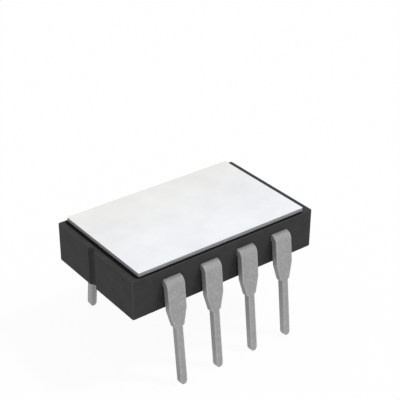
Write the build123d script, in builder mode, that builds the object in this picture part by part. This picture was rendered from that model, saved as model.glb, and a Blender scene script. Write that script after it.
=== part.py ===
from build123d import *
import math
import os

# An eight-lead accelerometer chip: a moulded housing with a flat metal lid.
# Sizes are millimetres. +Z is up, +X runs along the housing, and the groove
# that marks lead 1 is cut in the -X end. The origin lies level with the tips of
# the leads, below the middle of the housing.

# Housing: an open tray with a floor, a ledge for the lead fingers and a rim
end_overhang = 2.53        # outermost lead's centre line to the end of the housing
side_wall = 0.78           # rim above the leads
end_wall = 1.1             # rim at the two ends
ledge_side = 0.85          # ledge along the two rows of leads
ledge_end = 0.6            # ledge at the two ends
pocket_width = 4.3         # between the two long ledges
floor_thickness = 0.55
pocket_depth = 1.31        # floor to ledge
rim_height = 0.6           # ledge to the top of the rim
cavity_corner = 0.35
mould_draft = 4            # degrees, inside walls only
corner_round = 0.1         # upright corners
edge_round = 0.04          # top and bottom edges
groove_width = 0.64
groove_depth = 0.19
groove_offset = 0.22       # from the middle of the end towards lead 8

# Leads: stamped strip, bent down at the wall and splayed outwards
leads_per_row = 4
lead_pitch = 2.54
lead_thickness = 0.41
blade_width = 1.15         # from the wall down to the taper
taper_width = 0.64         # where the taper ends in the shoulder
pin_width = 0.435
tip_width = 0.22
tip_height = 0.18
finger_width = 0.8         # bonding finger inside
finger_setback = 0.12      # finger's end to the edge of the ledge
anchor_depth = 0.4         # wide strip inside the wall
lead_exit = 0.03           # straight strip outside the wall
inside_bend = 0.03
splay = 6.5                # degrees from upright
taper_drop = 1.05          # underside of the housing to the shoulder
pin_drop = 3.76            # shoulder to the tip
taper_blend = 0.5
shoulder_round = 0.06
lead_edge = 0.025

# Lid and the bead that holds it
lid_thickness = 0.24
lid_corner = 0.06
lid_edge = 0.02
lid_end_margin = 0.57      # end of the housing to the lid
lid_side_margin = 0.15     # long side of the housing to the lid
lid_offset = -0.04         # lid's middle from the housing's, along X
seal_thickness = 0.05
seal_groove_reach = 0.18   # bead squeezed out past the lid's end above the groove
seal_far_reach = 0.04      # past its other end
seal_side_reach = 0.11     # and past its long sides
seal_corner = 0.35
seal_edge = 0.02
seal_inset = 0.08          # rim's inner edge to the bead

# Sensing element: three bonded wafers, each shorter than the one below
sensor_width = 2.2
base_wafer_length = 2.4
wafer_step = 0.3           # shelf left bare for the bond pads
wafer_thickness = 0.35
sensor_end_gap = 0.4       # end of the pocket's floor to the sensing element
frame_width = 0.32         # solid silicon round the etched window
mass_gap = 0.1             # open slot between the frame and the mass
plate_gap = 0.02           # mass to the wafers above and below
beam_spacing = 0.7
beam_width = 0.16
beam_thickness = 0.04

# Circuit die
circuit_length = 3.2
circuit_width = 2.6
circuit_thickness = 0.4
die_spacing = 0.6          # sensing element to the circuit die

# Adhesives under the dies
attach_thickness = 0.06
attach_inset = 0.1         # die's edge to the adhesive

# Bond wires
wire_diameter = 0.05
wire_sides = 8             # the wire's round section has this many flats
ball_diameter = 0.12
ball_height = 0.04
foot_length = 0.18
foot_width = 0.09
foot_height = 0.035
foot_corner = 0.02
pad_inset = 0.15           # die's edge to the middle of a pad
foot_inset = 0.3           # finger's end to the middle of the foot
sensor_pad_pitch = 0.55
neck_height = 0.14         # straight rise above the ball
loop_height = 0.3          # crest of the loop above the higher end
crest_share = 0.45         # crest's place along the wire

# Gel over the dies and wires
gel_depth_below_rim = 0.15

# Levels and overall sizes that follow from the above
row_length = (leads_per_row - 1) * lead_pitch
body_length = row_length + 2 * end_overhang
body_width = pocket_width + 2 * (ledge_side + side_wall)
body_height = floor_thickness + pocket_depth + rim_height
underside_z = taper_drop + pin_drop
floor_z = underside_z + floor_thickness
ledge_z = floor_z + pocket_depth
rim_z = ledge_z + rim_height
lid_z = rim_z + seal_thickness
gel_z = rim_z - gel_depth_below_rim
opening_length = body_length - 2 * end_wall
opening_width = body_width - 2 * side_wall
pocket_length = opening_length - 2 * ledge_end
finger_end_y = pocket_width / 2 + finger_setback

os.makedirs("parts", exist_ok=True)


def save(name, piece):
    """Label a finished piece and write it under its own name."""
    piece.part.label = name
    export_step(piece.part, f"parts/{name}.step")


# Leads
# The master lead stands in the front row (-Y) at X = 0. It is a flat strip, a
# bend about an axis along X, and a flat leg whose outline is drawn on its outer
# face.
splay_angle = math.radians(splay)
exit_y = body_width / 2 + lead_exit
bend_z = ledge_z - lead_thickness - inside_bend
outer_bend = inside_bend + lead_thickness
bend_axis = Axis((0, -exit_y, bend_z), (1, 0, 0))
leg_normal = Vector(0, -math.cos(splay_angle), math.sin(splay_angle))
leg_origin = Vector(0, -exit_y, bend_z) + leg_normal * outer_bend
leg_plane = Plane(origin=leg_origin, x_dir=(1, 0, 0), z_dir=leg_normal)
exit_plane = Plane(
    origin=(0, -exit_y, ledge_z - lead_thickness / 2), x_dir=(1, 0, 0), z_dir=(0, -1, 0)
)


def along_leg(z):
    """Distance along the leg's outer face, from the bend to the height z."""
    return (z - leg_origin.Z) / math.cos(splay_angle)


shoulder_step = (taper_width - pin_width) / 2
taper_start = along_leg(underside_z)
taper_end = along_leg(underside_z - taper_drop)
tip_end = along_leg((lead_thickness - lead_edge) * math.sin(splay_angle))
anchor_y = body_width / 2 - anchor_depth

with BuildPart() as master_lead:
    with BuildSketch(Plane.XY.offset(ledge_z - lead_thickness)):
        with Locations((0, -(exit_y + anchor_y) / 2)):
            Rectangle(blade_width, exit_y - anchor_y)
        with Locations((0, -(anchor_y + finger_end_y) / 2)):
            Rectangle(finger_width, anchor_y - finger_end_y)
    extrude(amount=lead_thickness)
    with BuildSketch(exit_plane):
        Rectangle(blade_width, lead_thickness)
    revolve(axis=bend_axis, revolution_arc=90 - splay)
    with BuildSketch(leg_plane):
        with BuildLine():
            Polyline(
                (0, 0),
                (blade_width / 2, 0),
                (blade_width / 2, taper_start),
                (taper_width / 2, taper_end),
                (pin_width / 2, taper_end),
                (pin_width / 2, tip_end + tip_height),
                (tip_width / 2, tip_end),
                (0, tip_end),
            )
            mirror(about=Plane.YZ)
        make_face()
        fillet(vertices().group_by(Axis.Y)[-2], taper_blend)
        shoulder = vertices().group_by(Axis.Y)[2].sort_by(Axis.X)
        fillet([shoulder[0], shoulder[-1]], min(shoulder_round, shoulder_step - lead_edge))
    extrude(amount=-lead_thickness)
    chamfer(edges().filter_by(lambda edge: edge.center().Y < -exit_y), lead_edge)

# Numbered as on any such package: along the front row from the groove, then
# back along the rear row, each rear lead turned half round.
row_x = [lead_pitch * (k - (leads_per_row - 1) / 2) for k in range(leads_per_row)]
lead_places = [Location((x, 0, 0)) for x in row_x]
lead_places += [Location((x, 0, 0), (0, 0, 180)) for x in reversed(row_x)]
leads = []
for number, place in enumerate(lead_places, start=1):
    with BuildPart() as lead:
        with Locations(place):
            add(master_lead.part)
    leads.append(lead)
    save(f"lead_{number}", lead)

# Cavity
# The hollow of the tray as one solid: a deep pocket for the dies below, and the
# wider opening above the ledge. Both narrow downwards by the mould's draft.
with BuildPart() as cavity:
    with BuildSketch(Plane.XY.offset(ledge_z)):
        RectangleRounded(pocket_length, pocket_width, cavity_corner)
    extrude(amount=-pocket_depth, taper=mould_draft)
    with BuildSketch(Plane.XY.offset(rim_z)):
        RectangleRounded(opening_length, opening_width, cavity_corner)
    extrude(amount=-rim_height, taper=mould_draft)

# Housing
# Moulded round the leads, so each lead leaves its own shape in the wall and lies
# flush in the ledge. The groove is part of a circle whose centre lies outside.
groove_radius = (groove_width**2 / 4 + groove_depth**2) / (2 * groove_depth)
groove_x = -body_length / 2 + groove_depth - groove_radius
with BuildPart() as housing:
    with BuildSketch(Plane.XY.offset(underside_z)):
        Rectangle(body_length, body_width)
    extrude(amount=body_height)
    fillet(housing.edges().filter_by(Axis.Z), corner_round)
    flat_faces = housing.faces().filter_by(Axis.Z).sort_by(Axis.Z)
    fillet(flat_faces[0].edges() + flat_faces[-1].edges(), edge_round)
    with BuildSketch(Plane.XY.offset(underside_z)):
        with Locations((groove_x, groove_offset)):
            Circle(groove_radius)
    extrude(amount=body_height, mode=Mode.SUBTRACT)
    add(cavity.part, mode=Mode.SUBTRACT)
    for lead in leads:
        add(lead.part, mode=Mode.SUBTRACT)
save("housing", housing)

# Lid and its bead
# The bead is squeezed out all round the lid and shows as a black line.
lid_length = body_length - 2 * lid_end_margin
lid_width = body_width - 2 * lid_side_margin
with BuildPart() as lid:
    with BuildSketch(Plane.XY.offset(lid_z)):
        with Locations((lid_offset, 0)):
            RectangleRounded(lid_length, lid_width, lid_corner)
    extrude(amount=lid_thickness)
    chamfer(lid.faces().sort_by(Axis.Z)[-1].edges(), lid_edge)
save("lid", lid)

with BuildPart() as lid_seal:
    with BuildSketch(Plane.XY.offset(rim_z)):
        with Locations((lid_offset + (seal_far_reach - seal_groove_reach) / 2, 0)):
            RectangleRounded(
                lid_length + seal_groove_reach + seal_far_reach,
                lid_width + 2 * seal_side_reach,
                seal_corner,
            )
        RectangleRounded(
            opening_length + 2 * seal_inset,
            opening_width + 2 * seal_inset,
            cavity_corner + seal_inset,
            mode=Mode.SUBTRACT,
        )
    extrude(amount=seal_thickness)
    chamfer(lid_seal.faces().sort_by(Axis.Z)[-1].outer_wire().edges(), seal_edge)
save("lid_seal", lid_seal)


def block(left_x, length, width, bottom_z, height):
    """A die, wafer or adhesive layer: a plain block that starts at left_x."""
    with BuildPart() as piece:
        with BuildSketch(Plane.XY.offset(bottom_z)):
            with Locations((left_x + length / 2, 0)):
                Rectangle(length, width)
        extrude(amount=height)
    return piece


def attach_layer(left_x, length, width):
    """The adhesive under a die, from the pocket's floor up."""
    return block(
        left_x + attach_inset,
        length - 2 * attach_inset,
        width - 2 * attach_inset,
        floor_z,
        attach_thickness,
    )


# Sensing element
die_z = floor_z + attach_thickness
sensor_left = -pocket_length / 2 + pocket_depth * math.tan(math.radians(mould_draft)) + sensor_end_gap
wafer_lengths = [base_wafer_length - k * wafer_step for k in range(3)]
wafer_floors = [die_z + k * wafer_thickness for k in range(3)]
sensor_attach = attach_layer(sensor_left, base_wafer_length, sensor_width)
base_wafer, mass_blank, cap_wafer = [
    block(sensor_left, length, sensor_width, z, wafer_thickness)
    for length, z in zip(wafer_lengths, wafer_floors)
]

# The middle wafer is etched through to a frame, a seismic mass and the two thin
# beams that carry it. The mass is thinner than the frame by a gap on each face.
window_length = wafer_lengths[2] - 2 * frame_width
window_width = sensor_width - 2 * frame_width
window_x = sensor_left + wafer_lengths[2] / 2
mass_length = window_length - 2 * mass_gap
mass_width = window_width - 2 * mass_gap
with BuildPart() as mass_wafer:
    add(mass_blank.part)
    with BuildSketch(Plane.XY.offset(wafer_floors[1])):
        with Locations((window_x, 0)):
            Rectangle(window_length, window_width)
    extrude(amount=wafer_thickness, mode=Mode.SUBTRACT)
    with BuildSketch(Plane.XY.offset(wafer_floors[1] + plate_gap)):
        with Locations((window_x, 0)):
            Rectangle(mass_length, mass_width)
    extrude(amount=wafer_thickness - 2 * plate_gap)
    with BuildSketch(Plane.XY.offset(wafer_floors[1] + (wafer_thickness - beam_thickness) / 2)):
        with Locations((window_x - (mass_length + mass_gap) / 2, 0)):
            with GridLocations(0, beam_spacing, 1, 2):
                Rectangle(mass_gap, beam_width)
    extrude(amount=beam_thickness)

save("sensor_attach", sensor_attach)
save("sensor_base_wafer", base_wafer)
save("sensor_mass_wafer", mass_wafer)
save("sensor_cap_wafer", cap_wafer)

# Circuit die
circuit_left = sensor_left + base_wafer_length + die_spacing
circuit_top = die_z + circuit_thickness
circuit_attach = attach_layer(circuit_left, circuit_length, circuit_width)
circuit_die = block(circuit_left, circuit_length, circuit_width, die_z, circuit_thickness)
save("circuit_attach", circuit_attach)
save("circuit_die", circuit_die)


def bond_wire(ball, foot):
    """A loop of wire from a squashed ball on one pad to a flattened foot on the other.

    The wire rises straight from the ball, climbs to a crest and comes down to
    the foot in straight runs.
    """
    start = Vector(*ball)
    end = Vector(*foot)
    span = Vector(end.X - start.X, end.Y - start.Y, 0)
    crest = start + span * crest_share
    crest_z = max(start.Z, end.Z) + loop_height
    with BuildPart() as wire:
        with BuildSketch(Plane(origin=start)):
            RegularPolygon(ball_diameter / 2, wire_sides)
        extrude(amount=ball_height)
        with BuildSketch(Plane(origin=end, x_dir=span)):
            Rectangle(foot_length, foot_width)
            chamfer(vertices(), foot_corner)
        extrude(amount=foot_height)
        with BuildLine() as run:
            Polyline(
                start + Vector(0, 0, ball_height / 2),
                start + Vector(0, 0, ball_height + neck_height),
                Vector(crest.X, crest.Y, crest_z),
                end + Vector(0, 0, foot_height),
            )
        with BuildSketch(Plane(origin=start + Vector(0, 0, ball_height / 2))):
            RegularPolygon(wire_diameter / 2, wire_sides)
        sweep(path=run.wire(), transition=Transition.RIGHT)
    return wire


# Bond wires
wires = {}
pad_span = circuit_length - 2 * pad_inset
pad_y = circuit_width / 2 - pad_inset
foot_y = finger_end_y + foot_inset
for k, x in enumerate(row_x):
    pad_x = circuit_left + pad_inset + pad_span * k / (leads_per_row - 1)
    for side, number in [(-1, k + 1), (1, 2 * leads_per_row - k)]:
        wires[f"lead_wire_{number}"] = bond_wire(
            (pad_x, side * pad_y, circuit_top), (x, side * foot_y, ledge_z)
        )
for k, name in enumerate(["base", "mass", "cap"]):
    y = (k - 1) * sensor_pad_pitch
    ball_x = sensor_left + wafer_lengths[k] - wafer_step / 2
    wires[f"sensor_wire_{name}"] = bond_wire(
        (ball_x, y, wafer_floors[k] + wafer_thickness), (circuit_left + pad_inset, y, circuit_top)
    )
for name, wire in wires.items():
    save(name, wire)

# Gel
# It fills the tray to just below the rim, round everything that stands in it,
# and stays out of the sealed window of the sensing element.
with BuildPart() as gel:
    add(cavity.part)
    split(bisect_by=Plane.XY.offset(gel_z), keep=Keep.BOTTOM)
    for piece in [sensor_attach, base_wafer, mass_blank, cap_wafer, circuit_attach, circuit_die]:
        add(piece.part, mode=Mode.SUBTRACT)
    for wire in wires.values():
        add(wire.part, mode=Mode.SUBTRACT)
save("gel_fill", gel)
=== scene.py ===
import math

import bpy
import numpy as np
from mathutils import Matrix, Vector


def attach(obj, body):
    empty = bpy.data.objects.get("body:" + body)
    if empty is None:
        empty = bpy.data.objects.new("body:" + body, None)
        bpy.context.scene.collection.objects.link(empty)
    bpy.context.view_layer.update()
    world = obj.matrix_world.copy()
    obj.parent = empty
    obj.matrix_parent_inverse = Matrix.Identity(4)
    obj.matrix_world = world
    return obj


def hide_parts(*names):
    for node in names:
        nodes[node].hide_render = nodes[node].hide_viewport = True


# An accelerometer chip: eight stamped leads moulded into a charcoal housing, and
# under a flat metal lid the sensing element, its circuit, their wires and a gel.
# Lengths are metres, grains are counted to a metre, +Z is up and +X runs along the
# housing. Two roughnesses are those of a grain's low and high spots, and a relief
# is its depth and how far it tilts the surface.
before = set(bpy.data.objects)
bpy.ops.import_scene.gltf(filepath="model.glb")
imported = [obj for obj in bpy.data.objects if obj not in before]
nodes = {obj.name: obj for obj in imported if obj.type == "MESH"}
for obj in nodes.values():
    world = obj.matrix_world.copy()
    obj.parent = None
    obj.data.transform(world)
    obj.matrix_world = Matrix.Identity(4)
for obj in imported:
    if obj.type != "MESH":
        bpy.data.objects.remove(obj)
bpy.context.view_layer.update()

# Leads: flat strip, stamped and bent, then plated with matt tin. The tin sets in
# fine crystals that mottle its grey. It is duller on the sheared sides. Along the
# edges of the faces and on the outside of the bend it is painted brighter, a painted
# highlight for the light that the rounded edges and the bend catch.
tin_dark = (0.325, 0.325, 0.323, 1)
tin_pale = (0.485, 0.485, 0.48, 1)
tin_highlight = (0.62, 0.62, 0.615, 1)
tin_sheared = (0.44, 0.44, 0.44, 1)
tin_crystals = 7500
tin_clouds = 1800
tin_cloudiness = 0.5          # how far the clouds darken the crystals
tin_relief = (3e-6, 0.35)
face_metallic = 0.6
face_roughness = (0.56, 0.70)
side_metallic = 0.8
side_roughness = 0.70
side_turn = (0.75, 0.9)       # sideways part of the normal, from plated face to sheared side
face_highlight_reach = (0.01e-3, 0.09e-3) # from a face's edge, where the painted highlight starts to fade and where it ends
bend_turn = (0.2, 0.8)        # upward part of the normal, from the leg to the top of the bend
bend_highlight_share = 0.35               # how far the bend is painted brighter, a painted highlight
lead_pitch = 2.54e-3
blade_half = 0.575e-3         # half the strip's width, down to the underside of the housing
shoulder_half = 0.32e-3
pin_half = 0.2175e-3
underside_level = 4.81e-3
shoulder_level = 3.76e-3
lead_numbers = range(1, 9)
lead_names = [f"lead_{number}" for number in lead_numbers]
speckle_roughness = 0.55      # strength of each finer layer of grain, as a share of the last
speckle_low = 0.3             # soft grain lies mostly between these two
speckle_high = 0.7


def new_finish(name, **sockets):
    """A new material whose surface has these constant sockets, with its node tree and its shader."""
    material = bpy.data.materials.new(name)
    material.use_nodes = True
    shader = material.node_tree.nodes["Principled BSDF"]
    for socket, value in sockets.items():
        shader.inputs[socket.replace("_", " ")].default_value = value
    return material, material.node_tree, shader


def vary(shader, **sockets):
    """These sockets of the shader follow these outputs of other nodes."""
    for socket, output in sockets.items():
        shader.id_data.links.new(output, shader.inputs[socket.replace("_", " ")])


def put(tree, kind, inputs=None, **settings):
    """One shader node. inputs gives a value or another node's output for each of its sockets."""
    made = tree.nodes.new("ShaderNode" + kind)
    for name, value in settings.items():
        setattr(made, name, value)
    for name, value in (inputs or {}).items():
        if isinstance(value, bpy.types.NodeSocket):
            tree.links.new(value, made.inputs[name])
        else:
            made.inputs[name].default_value = value
    return made


def maths(tree, operation, *values):
    """One step of arithmetic on numbers or other nodes' outputs."""
    return put(tree, "Math", dict(enumerate(values)), operation=operation).outputs[0]


def place(tree, stretch=(1, 1, 1)):
    """The point on the piece in metres, stretched along each axis."""
    where = put(tree, "TexCoord").outputs["Object"]
    return put(tree, "Mapping", {"Vector": where, "Scale": stretch}).outputs["Vector"]


def speckle(tree, where, per_metre=1.0, detail=3):
    """Soft irregular grain from 0 to 1, with this many grains to a metre of the stretched piece."""
    inputs = {"Vector": where, "Scale": per_metre, "Detail": detail, "Roughness": speckle_roughness}
    return put(tree, "TexNoise", inputs).outputs["Fac"]


def between(tree, amount, low, high, start=speckle_low, end=speckle_high):
    """low where amount is start or less, high where it is end or more, and in line between."""
    inputs = {"Value": amount, "From Min": start, "From Max": end, "To Min": low, "To Max": high}
    return put(tree, "MapRange", inputs).outputs["Result"]


def blend(tree, amount, first, second):
    """The number first where amount is 0 and second where it is 1."""
    return between(tree, amount, first, second, 0.0, 1.0)


def blend_colour(tree, amount, first, second, kind="MIX"):
    """The colour first where amount is 0 and second where it is 1."""
    mixed = put(tree, "Mix", {0: amount, 6: first, 7: second}, data_type="RGBA", blend_type=kind)
    return mixed.outputs[2]


def tint(tree, grain, dark, pale):
    """The colour that runs from dark to pale with a soft grain."""
    ramp = put(tree, "ValToRGB", {"Fac": grain})
    low, high = ramp.color_ramp.elements
    low.position, high.position = speckle_low, speckle_high
    low.color, high.color = dark, pale
    return ramp.outputs["Color"]


def relief(tree, height, depth, strength):
    """The surface's normal as the height, from 0 to depth, tilts it."""
    inputs = {"Height": height, "Distance": depth, "Strength": strength}
    return put(tree, "Bump", inputs).outputs["Normal"]


def dress(material, names):
    """The nodes of these names take the material."""
    for name in names:
        mesh = nodes[name].data
        mesh.materials.clear()
        mesh.materials.append(material)


def to_strip_edge(tree, where):
    """How far a point on a lead's face lies from the strip's side. Leads stand half a pitch from
    the housing's middle and one pitch apart, so a point's place in its pitch gives its distance
    from its lead's middle. The strip's half width is even along the blade, falls in line along
    the taper and steps down to the pin's."""
    x, _, z = put(tree, "SeparateXYZ", {0: where}).outputs
    along_pitch = maths(tree, "FRACT", maths(tree, "DIVIDE", x, lead_pitch))
    off_middle = maths(tree, "ABSOLUTE", maths(tree, "SUBTRACT", along_pitch, 0.5))
    off_middle = maths(tree, "MULTIPLY", off_middle, lead_pitch)
    half = between(tree, z, shoulder_half, blade_half, shoulder_level, underside_level)
    on_pin = maths(tree, "LESS_THAN", z, shoulder_level)
    narrower = maths(tree, "MULTIPLY", on_pin, shoulder_half - pin_half)
    return maths(tree, "SUBTRACT", maths(tree, "SUBTRACT", half, narrower), off_middle)


lead_metal, tree, shader = new_finish("lead_metal")
where = place(tree)
crystals = speckle(tree, where, tin_crystals, detail=4)
clouds = speckle(tree, where, tin_clouds, detail=2)
normal = put(tree, "NewGeometry").outputs["Normal"]
sideways, _, upwards = put(tree, "SeparateXYZ", {0: normal}).outputs
sheared = between(tree, maths(tree, "ABSOLUTE", sideways), 0.0, 1.0, *side_turn)
# Painted highlight: a brighter tin colour along the edges of the faces and on the outside of the
# bend.
face_edge_highlight = between(tree, to_strip_edge(tree, where), 1.0, 0.0, *face_highlight_reach)
highlit_bend = between(tree, upwards, 0.0, bend_highlight_share, *bend_turn)
lead_highlight = maths(tree, "MAXIMUM", face_edge_highlight, highlit_bend)
mottled = tint(tree, crystals, tin_dark, tin_pale)
plated = blend_colour(tree, between(tree, clouds, 0.0, tin_cloudiness), mottled, tin_dark)
highlit_tin = blend_colour(tree, maths(tree, "MULTIPLY", lead_highlight, crystals), plated, tin_highlight)
vary(
    shader,
    Base_Color=blend_colour(tree, sheared, highlit_tin, tin_sheared),
    Metallic=blend(tree, sheared, face_metallic, side_metallic),
    Roughness=blend(tree, sheared, between(tree, crystals, *face_roughness), side_roughness),
    Normal=relief(tree, crystals, *tin_relief),
)
dress(lead_metal, lead_names)

# Housing: a tray of filled epoxy, moulded round the leads in a spark-eroded
# mould. It is charcoal with a fine matt grain. Along its edges, the upright ones
# most, it is painted paler, a painted highlight for light on the rounded edges.
resin_dark = (0.037, 0.037, 0.037, 1)
resin_pale = (0.046, 0.046, 0.046, 1)
resin_highlight = (0.072, 0.072, 0.072, 1)
resin_clouds = 1300
resin_grain = 16000
resin_roughness = (0.52, 0.66)
resin_relief = (4e-6, 0.5)
resin_sheen = 0.09
block_highlight_reach = (0.04e-3, 0.1e-3) # from the block's edge, where the painted highlight starts to fade and ends
level_highlight_share = 0.3               # how far the level edges get the painted highlight


def points_of(name):
    """The corners of a node's mesh, one row each."""
    mesh = nodes[name].data
    corners = np.empty(len(mesh.vertices) * 3, dtype=np.float32)
    mesh.vertices.foreach_get("co", corners)
    return corners.reshape(-1, 3)


def edge_distances(tree, where, low, high):
    """How far a point on a block from low to high lies from its nearest upright edge and from its
    nearest level edge. An edge is as far as the deeper of the two faces that meet in it."""
    middle, half = (low + high) / 2, (high - low) / 2
    offset = put(tree, "VectorMath", {0: where, 1: middle}, operation="SUBTRACT").outputs[0]
    apart = put(tree, "VectorMath", {0: offset}, operation="ABSOLUTE").outputs[0]
    depth = put(tree, "VectorMath", {0: half, 1: apart}, operation="SUBTRACT").outputs[0]
    x, y, z = put(tree, "SeparateXYZ", {0: depth}).outputs
    return maths(tree, "MAXIMUM", x, y), maths(tree, "MAXIMUM", z, maths(tree, "MINIMUM", x, y))


housing_plastic, tree, shader = new_finish("housing_plastic", Specular_IOR_Level=resin_sheen)
where = place(tree)
clouds = speckle(tree, where, resin_clouds)
grain = speckle(tree, where, resin_grain, detail=2)
block = points_of("housing")
to_upright, to_level = edge_distances(tree, where, block.min(axis=0), block.max(axis=0))
# Painted highlight: a paler colour along the block's edges, the upright ones most.
highlit_upright_edges = between(tree, to_upright, 1.0, 0.0, *block_highlight_reach)
highlit_level_edges = between(tree, to_level, level_highlight_share, 0.0, *block_highlight_reach)
highlit_block_edges = maths(tree, "MAXIMUM", highlit_upright_edges, highlit_level_edges)
vary(
    shader,
    Base_Color=blend_colour(tree, highlit_block_edges, tint(tree, clouds, resin_dark, resin_pale), resin_highlight),
    Roughness=between(tree, grain, *resin_roughness),
    Normal=relief(tree, grain, *resin_relief),
)
dress(housing_plastic, ["housing"])

# Adhesive under the two dies: a thin layer of pale grey silicone, soft enough to
# keep the board's stresses away from the sensing element.
silicone_dark = (0.46, 0.46, 0.44, 1)
silicone_pale = (0.62, 0.62, 0.59, 1)
silicone_lumps = 6000
silicone_roughness = (0.38, 0.52)
silicone_relief = (4e-6, 0.5)
silicone_glow = 0.15          # share of the light that goes in and comes out again
silicone_depth = (0.2e-3, 0.2e-3, 0.18e-3)
silicone_depth_scale = 0.3

die_adhesive, tree, shader = new_finish(
    "die_adhesive",
    Subsurface_Weight=silicone_glow,
    Subsurface_Radius=silicone_depth,
    Subsurface_Scale=silicone_depth_scale,
)
lumps = speckle(tree, place(tree), silicone_lumps)
vary(
    shader,
    Base_Color=tint(tree, lumps, silicone_dark, silicone_pale),
    Roughness=between(tree, lumps, *silicone_roughness),
    Normal=relief(tree, lumps, *silicone_relief),
)
dress(die_adhesive, ["sensor_attach", "circuit_attach"])

# Sensing element: three silicon wafers bonded face to face, with the mass and its
# two beams etched in the middle one. Faces are polished and the sides are sawn.
silicon_dark = (0.115, 0.120, 0.140, 1)
silicon_pale = (0.190, 0.200, 0.235, 1)
silicon_clouds = 1500
wafer_metallic = 0.55
polished_roughness = 0.16
sawn_roughness = 0.48
saw_marks = (900, 900, 60000) # level scratches, close together up the side
saw_relief = (2e-6, 0.5)
wafer_names = ["sensor_base_wafer", "sensor_mass_wafer", "sensor_cap_wafer"]


def lying_level(tree):
    """1 on faces that lie level, and 0 on upright ones."""
    normal = put(tree, "NewGeometry").outputs["Normal"]
    upwards = put(tree, "SeparateXYZ", {0: normal}).outputs["Z"]
    return between(tree, maths(tree, "ABSOLUTE", upwards), 0.0, 1.0)


def silicon_surface(tree, shader, face_colour):
    """Polished level faces of this colour, and sides that are ground matt by the saw."""
    level = lying_level(tree)
    sawn = speckle(tree, place(tree, saw_marks))
    side_colour = tint(tree, sawn, silicon_dark, silicon_pale)
    vary(
        shader,
        Base_Color=blend_colour(tree, level, side_colour, face_colour),
        Roughness=blend(tree, level, sawn_roughness, polished_roughness),
        Normal=relief(tree, sawn, *saw_relief),
    )


silicon, tree, shader = new_finish("silicon", Metallic=wafer_metallic)
clouds = speckle(tree, place(tree), silicon_clouds)
silicon_surface(tree, shader, tint(tree, clouds, silicon_dark, silicon_pale))
dress(silicon, wafer_names)

# Circuit die: silicon whose top carries blocks of fine tracks under clear glass,
# in the greens and violets that such thin layers show.
track_green = (0.10, 0.22, 0.20, 1)
track_violet = (0.17, 0.13, 0.25, 1)
track_line = (0.42, 0.40, 0.33, 1)
circuit_metallic = 0.5
block_width = 0.42e-3
block_height = 0.26e-3
block_gap = 0.012e-3
block_gap_blur = 0.1
row_shift = 0.37              # of a block's width, in every second row
narrow_row = 3                # every third row has narrower blocks
narrow_share = 0.6            # of the other blocks' width
track_scale = 2100            # tracks about 0.15 mm apart
track_wander = 2.5            # how far they wander, how finely and how often
track_wander_detail = 2.0
track_wander_scale = 900
track_turn = (0.45, 0.6)      # stripes' values, from the ground between two tracks to a track
track_share = 0.35            # how far a track covers its block's colour

circuit_silicon, tree, shader = new_finish("circuit_silicon", Metallic=circuit_metallic)
where = place(tree)
block_pattern = {
    "Vector": where,
    "Scale": 1.0,
    "Color1": track_green,
    "Color2": track_violet,
    "Mortar": track_line,
    "Mortar Size": block_gap,
    "Mortar Smooth": block_gap_blur,
    "Brick Width": block_width,
    "Row Height": block_height,
}
blocks = put(
    tree, "TexBrick", block_pattern,
    offset=row_shift, squash=narrow_share, squash_frequency=narrow_row,
).outputs["Color"]
track_pattern = {
    "Vector": where,
    "Scale": track_scale,
    "Distortion": track_wander,
    "Detail": track_wander_detail,
    "Detail Scale": track_wander_scale,
}
stripes = put(tree, "TexWave", track_pattern, bands_direction="X").outputs["Fac"]
on_track = between(tree, stripes, 0.0, track_share, *track_turn)
silicon_surface(tree, shader, blend_colour(tree, on_track, blocks, track_line))
dress(circuit_silicon, ["circuit_die"])

# Bond wires: bright drawn gold, welded as a ball on one die and as a flattened
# foot at the far end. Drawing leaves faint lines along them.
gold_dark = (0.74, 0.50, 0.16, 1)
gold_pale = (0.95, 0.70, 0.30, 1)
gold_lines = 40000
gold_stretch = (1, 0.12, 1)   # lines run along Y, as most of the wires do
gold_roughness = (0.16, 0.30)
sensor_wire_names = ["sensor_wire_base", "sensor_wire_mass", "sensor_wire_cap"]
wire_names = [f"lead_wire_{number}" for number in lead_numbers] + sensor_wire_names

wire_gold, tree, shader = new_finish("wire_gold", Metallic=1.0)
drawn = speckle(tree, place(tree, gold_stretch), gold_lines)
vary(
    shader,
    Base_Color=tint(tree, drawn, gold_dark, gold_pale),
    Roughness=between(tree, drawn, *gold_roughness),
)
dress(wire_gold, wire_names)

# Bond pads: films of bright aluminium on the dies, one under each end of a wire.
# Each is a low pillow, thickest in its middle and thinned out at its edge.
aluminium_dark = (0.62, 0.62, 0.62, 1)
aluminium_pale = (0.80, 0.80, 0.80, 1)
pad_frost = 60000
pad_roughness = (0.28, 0.42)
pad_length = 0.19e-3
pad_width = 0.15e-3
pad_rise = 0.003e-3
pad_steps = 9
level_within = 1e-7           # corners this near to a level lie on it


def landing(wire, level):
    """The middle of the wire's end that stands on a face at this level."""
    points = points_of(wire)
    end = points[np.abs(points[:, 2] - level) < level_within]
    return (end.min(axis=0) + end.max(axis=0)) / 2


def grid_faces(steps):
    """The four-sided faces of a square grid of points with this many points to a side."""
    corner = np.arange(steps**2).reshape(steps, steps)
    faces = np.stack([corner[:-1, :-1], corner[1:, :-1], corner[1:, 1:], corner[:-1, 1:]], axis=-1)
    return faces.reshape(-1, 4)


def pillows(centres, length, width, rise, steps):
    """Low pillows, one on each centre. Over a grid of u and v from -1 to 1 the height above the
    face is (1 - u^8)(1 - v^8) times the rise. Returns their points and four-sided faces."""
    line = np.linspace(-1, 1, steps)
    u, v = np.meshgrid(line, line, indexing="ij")
    height = rise * (1 - u**8) * (1 - v**8)
    points = centres[:, None, None] + np.stack([u * length / 2, v * width / 2, height], axis=-1)
    starts = np.arange(len(centres)) * steps**2
    return points.reshape(-1, 3), (starts[:, None, None] + grid_faces(steps)).reshape(-1, 4)


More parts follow.
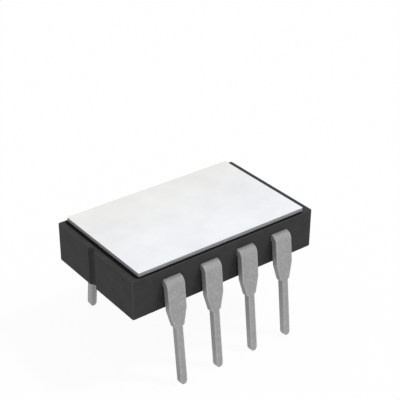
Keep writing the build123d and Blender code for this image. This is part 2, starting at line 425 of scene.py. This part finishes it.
def build(name, points, faces):
    """A mesh object of these points and faces, at the origin, with its faces smooth."""
    mesh = bpy.data.meshes.new(name)
    mesh.from_pydata(points.tolist(), [], faces.tolist())
    mesh.shade_smooth()
    made = bpy.data.objects.new(name, mesh)
    bpy.context.scene.collection.objects.link(made)
    return made


pad_metal, tree, shader = new_finish("pad_metal", Metallic=1.0)
frost = speckle(tree, place(tree), pad_frost)
vary(
    shader,
    Base_Color=tint(tree, frost, aluminium_dark, aluminium_pale),
    Roughness=between(tree, frost, *pad_roughness),
)
circuit_level = points_of("circuit_die")[:, 2].max()
wafer_levels = [points_of(name)[:, 2].max() for name in wafer_names]
pad_places = {
    "circuit_pads": [landing(name, circuit_level) for name in wire_names],
    "sensor_pads": [landing(name, level) for name, level in zip(sensor_wire_names, wafer_levels)],
}
for name, centres in pad_places.items():
    pads = build(name, *pillows(np.array(centres), pad_length, pad_width, pad_rise, pad_steps))
    pads.data.materials.append(pad_metal)
    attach(pads, "root")

# Gel: clear soft silicone, poured over dies and wires. Its free skin lies below
# the rim, barely rippled, and climbs a little where it wets the pocket's wall.
gel_clear = (0.93, 0.96, 0.97, 1)
gel_index = 1.41              # of refraction
gel_ripples = 700
gel_roughness = (0.0, 0.04)
gel_relief = (0.01e-3, 0.6)
gel_sink = 0.02e-3            # the skin's middle, below the top of the solid
gel_climb = 0.07e-3           # at the wall
gel_reach = 0.2e-3            # from the wall to where the climb has fallen to 1/e of itself
gel_corner = 0.34e-3          # radius of the pocket's upright corners
gel_steps = 61


def skin(half_length, half_width, level, corner, climb, reach, steps):
    """The free face of a liquid in a pocket with round corners. Over a grid of s and t from -1
    to 1, closest at the walls, x is s times the half length and y is t times the half width
    there. The face climbs by e^(-d / reach) of the climb, for the distances d from end and
    side, and the two climbs add up as the legs of a right triangle do."""
    line = np.sin(np.linspace(-np.pi / 2, np.pi / 2, steps))
    s, t = np.meshgrid(line, line, indexing="ij")
    x = s * half_length
    into_corner = np.clip(np.abs(x) - (half_length - corner), 0, corner)
    width_there = half_width - corner + np.sqrt(corner**2 - into_corner**2)
    y = t * width_there
    from_end, from_side = half_length - np.abs(x), width_there - np.abs(y)
    z = level + climb * np.hypot(np.exp(-from_end / reach), np.exp(-from_side / reach))
    return np.stack([x, y, z], axis=-1).reshape(-1, 3), grid_faces(steps)


gel, tree, shader = new_finish("gel", Transmission_Weight=1.0, IOR=gel_index, Base_Color=gel_clear)
ripple = speckle(tree, place(tree), gel_ripples, detail=1)
vary(
    shader,
    Roughness=between(tree, ripple, *gel_roughness),
    Normal=relief(tree, ripple, *gel_relief),
)
half_length, half_width, top = points_of("gel_fill").max(axis=0)
skin_mesh = skin(half_length, half_width, top - gel_sink, gel_corner, gel_climb, gel_reach, gel_steps)
gel_skin = build("gel_skin", *skin_mesh)
gel_skin.data.materials.append(gel)
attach(gel_skin, "root")
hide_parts("gel_fill")

# Bead under the lid: black adhesive that holds it on the rim, coloured near black
# and matt. It shows as a thin dark band all round the lid.
bead_dark = (0.004, 0.004, 0.004, 1)
bead_pale = (0.008, 0.008, 0.008, 1)
bead_lumps = 5000
bead_roughness = (0.7, 0.9)
bead_relief = (6e-6, 0.6)
bead_sheen = 0.08

seal_bead, tree, shader = new_finish("seal_bead", Specular_IOR_Level=bead_sheen)
lumps = speckle(tree, place(tree), bead_lumps)
vary(
    shader,
    Base_Color=tint(tree, lumps, bead_dark, bead_pale),
    Roughness=between(tree, lumps, *bead_roughness),
    Normal=relief(tree, lumps, *bead_relief),
)
dress(seal_bead, ["lid_seal"])

# Lid: a flat plate cut from rolled steel and plated with satin nickel, so pale
# that it looks white. Towards its rear side it is painted a little warmer and
# dimmer, a painted shade for the light that it mirrors there. Rolling marks run
# along it. Its sheared edge is darker, partly as bare sheared steel and partly as
# painted shade.
nickel_dark = (0.845, 0.862, 0.90, 1)
nickel_pale = (0.925, 0.942, 0.98, 1)
rear_shade_tint = (0.945, 0.926, 0.865, 1)
sheared_and_shaded_dark = (0.28, 0.28, 0.28, 1)
sheared_and_shaded_pale = (0.42, 0.42, 0.42, 1)
nickel_clouds = 450
nickel_roughness = (0.36, 0.46)
sheared_roughness = 0.85
sheared_metallic = 0.35
rolling_marks = (1500, 22000, 22000)
rolling_relief = (0.8e-6, 0.25)

lid_metal, tree, shader = new_finish("lid_metal")
where = place(tree)
clouds = speckle(tree, where, nickel_clouds, detail=4)
rolled = speckle(tree, place(tree, rolling_marks), detail=2)
level = lying_level(tree)
plate = points_of("lid")
across = put(tree, "SeparateXYZ", {0: where}).outputs["Y"]
# Painted shade: the nickel turns a little warmer and dimmer towards the rear side.
rear_shade_share = between(tree, across, 0.0, 1.0, plate[:, 1].min(), plate[:, 1].max())
cool = tint(tree, clouds, nickel_dark, nickel_pale)
nickel = blend_colour(tree, rear_shade_share, cool, rear_shade_tint, "MULTIPLY")
# The sheared edge is darker, partly as bare sheared steel and partly as painted shade.
edge = tint(tree, rolled, sheared_and_shaded_dark, sheared_and_shaded_pale)
vary(
    shader,
    Base_Color=blend_colour(tree, level, edge, nickel),
    Metallic=blend(tree, level, sheared_metallic, 1.0),
    Roughness=blend(tree, level, sheared_roughness, between(tree, rolled, *nickel_roughness)),
    Normal=relief(tree, rolled, *rolling_relief),
)
dress(lid_metal, ["lid"])

# Floor: one pale sheet that the chip stands on. It is lit like any surface and
# keeps a faint shadow, and the camera sees it near white. From below it is clear.
floor_reach = 0.6
floor_colour = (0.88, 0.88, 0.88, 1)
floor_glow = 0.95             # how far camera and mirrors see plain white instead of its light
white = (1, 1, 1, 1)


def seen_by(tree, *rays):
    """1 for rays of these kinds and 0 for all others."""
    path = put(tree, "LightPath").outputs
    seen = path[rays[0]]
    for ray in rays[1:]:
        seen = maths(tree, "MAXIMUM", seen, path[ray])
    return seen


floor_corners = np.array([[-1, -1, 0], [1, -1, 0], [1, 1, 0], [-1, 1, 0]]) * floor_reach
floor = build("floor", floor_corners, np.array([[0, 1, 2, 3]]))
floor_sheet = bpy.data.materials.new("floor_sheet")
floor_sheet.use_nodes = True
tree = floor_sheet.node_tree
tree.nodes.clear()
seen = seen_by(tree, "Is Camera Ray", "Is Glossy Ray")
share = maths(tree, "MULTIPLY", seen, floor_glow)
paint = put(tree, "BsdfDiffuse", {"Color": floor_colour}).outputs[0]
glow = put(tree, "Emission", {"Color": white, "Strength": 1.0}).outputs[0]
above = put(tree, "MixShader", {0: share, 1: paint, 2: glow}).outputs[0]
clear = put(tree, "BsdfTransparent").outputs[0]
from_below = put(tree, "NewGeometry").outputs["Backfacing"]
sheet = put(tree, "MixShader", {0: from_below, 1: above, 2: clear}).outputs[0]
put(tree, "OutputMaterial", {"Surface": sheet})
floor.data.materials.append(floor_sheet)

# Studio: a white tent for what is seen and mirrored, a dimmer one for its light,
# and one soft lamp high at the front right, which lifts the front a little.
tent_light = 0.54             # the tent that is seen has 1
key_from = (0.50, -0.40, 1.0) # towards the lamp
key_share = 0.46              # of the light that a white tent would give a level face
key_angle = math.radians(7)

studio = bpy.data.worlds.new("studio")
bpy.context.scene.world = studio
studio.use_nodes = True
tree = studio.node_tree
tree.nodes.clear()
seen = seen_by(tree, "Is Camera Ray", "Is Glossy Ray", "Is Transmission Ray")
strength = blend(tree, seen, tent_light, 1.0)
tent = put(tree, "Background", {"Color": white, "Strength": strength}).outputs[0]
put(tree, "OutputWorld", {"Surface": tent})

towards = Vector(key_from).normalized()
key = bpy.data.lights.new("key", "SUN")
# A sun of pi lights a face that looks at it as a white tent would, and a turned
# face less, by the cosine of the turn.
key.energy = key_share * math.pi / towards.z
key.angle = key_angle
lamp = bpy.data.objects.new("key", key)
lamp.rotation_mode = "QUATERNION"
lamp.rotation_quaternion = towards.to_track_quat("Z", "Y")
lamp.visible_glossy = False
bpy.context.scene.collection.objects.link(lamp)

# Camera: where the photograph was taken from, found by laying the edges of the
# housing, the lid and the leads over those in it.
camera_azimuth = math.radians(-37.2962)
camera_elevation = math.radians(29.7827)
camera_roll = math.radians(0.2941)
camera_distance = 63.2203e-3
camera_aim = Vector((1.5442e-3, 0.7436e-3, 7.4785e-3))
camera_sensor = 36.0          # sensor's width and lens in millimetres, as a camera states them
camera_lens = 96.572
camera_near = 1e-3
camera_far = 10

back = Vector((
    math.sin(camera_azimuth) * math.cos(camera_elevation),
    -math.cos(camera_azimuth) * math.cos(camera_elevation),
    math.sin(camera_elevation),
))
right = Vector((math.cos(camera_azimuth), math.sin(camera_azimuth), 0))
turned = Matrix.Rotation(camera_roll, 3, back)
right, up = turned @ right, turned @ back.cross(right)
lens = bpy.data.cameras.new("camera")
lens.sensor_width = camera_sensor
lens.lens = camera_lens
lens.clip_start = camera_near
lens.clip_end = camera_far
camera = bpy.data.objects.new("camera", lens)
axes = Matrix((right, up, back)).transposed().to_4x4()
camera.matrix_world = Matrix.Translation(camera_aim + camera_distance * back) @ axes
bpy.context.scene.collection.objects.link(camera)
bpy.context.scene.camera = camera

settings = bpy.context.scene.view_settings
settings.view_transform = "Standard"
